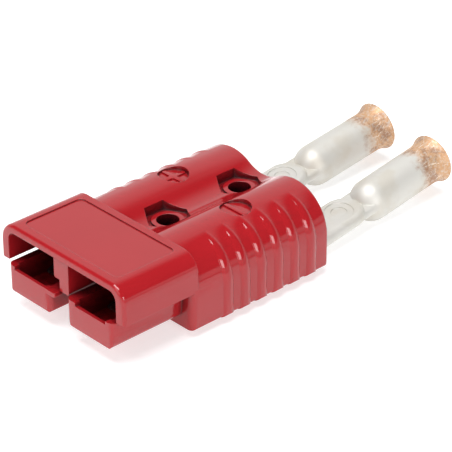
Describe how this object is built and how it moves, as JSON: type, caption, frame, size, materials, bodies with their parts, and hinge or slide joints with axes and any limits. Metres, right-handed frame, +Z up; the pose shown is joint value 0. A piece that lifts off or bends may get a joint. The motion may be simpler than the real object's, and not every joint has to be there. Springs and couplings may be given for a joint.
{
  "type": "genderless power connector",
  "caption": "Genderless battery power connector: a hooded moulded housing with side-by-side cable bores and trays, with loose silver-plated contacts that slide in from behind.",
  "frame": {"origin": "midway between the two mounting holes, on the flat underside of the housing", "axes": "+X towards the cable end, +Y across to the positive pole, +Z up out of the underside along the mounting holes"},
  "size_m": [0.1452, 0.0566, 0.0267],
  "materials": {
    "housing_red": "glossy moulded red",
    "spring_steel": "rolled stainless strip",
    "contact_silver": "satin silver plate over copper, copper tinted at the bell"
  },
  "bodies": {
    "root": {"housing": "housing_red", "spring_positive": "spring_steel", "spring_negative": "spring_steel", "contact_positive": "contact_silver", "contact_negative": "contact_silver"}
  },
  "joints": []
}
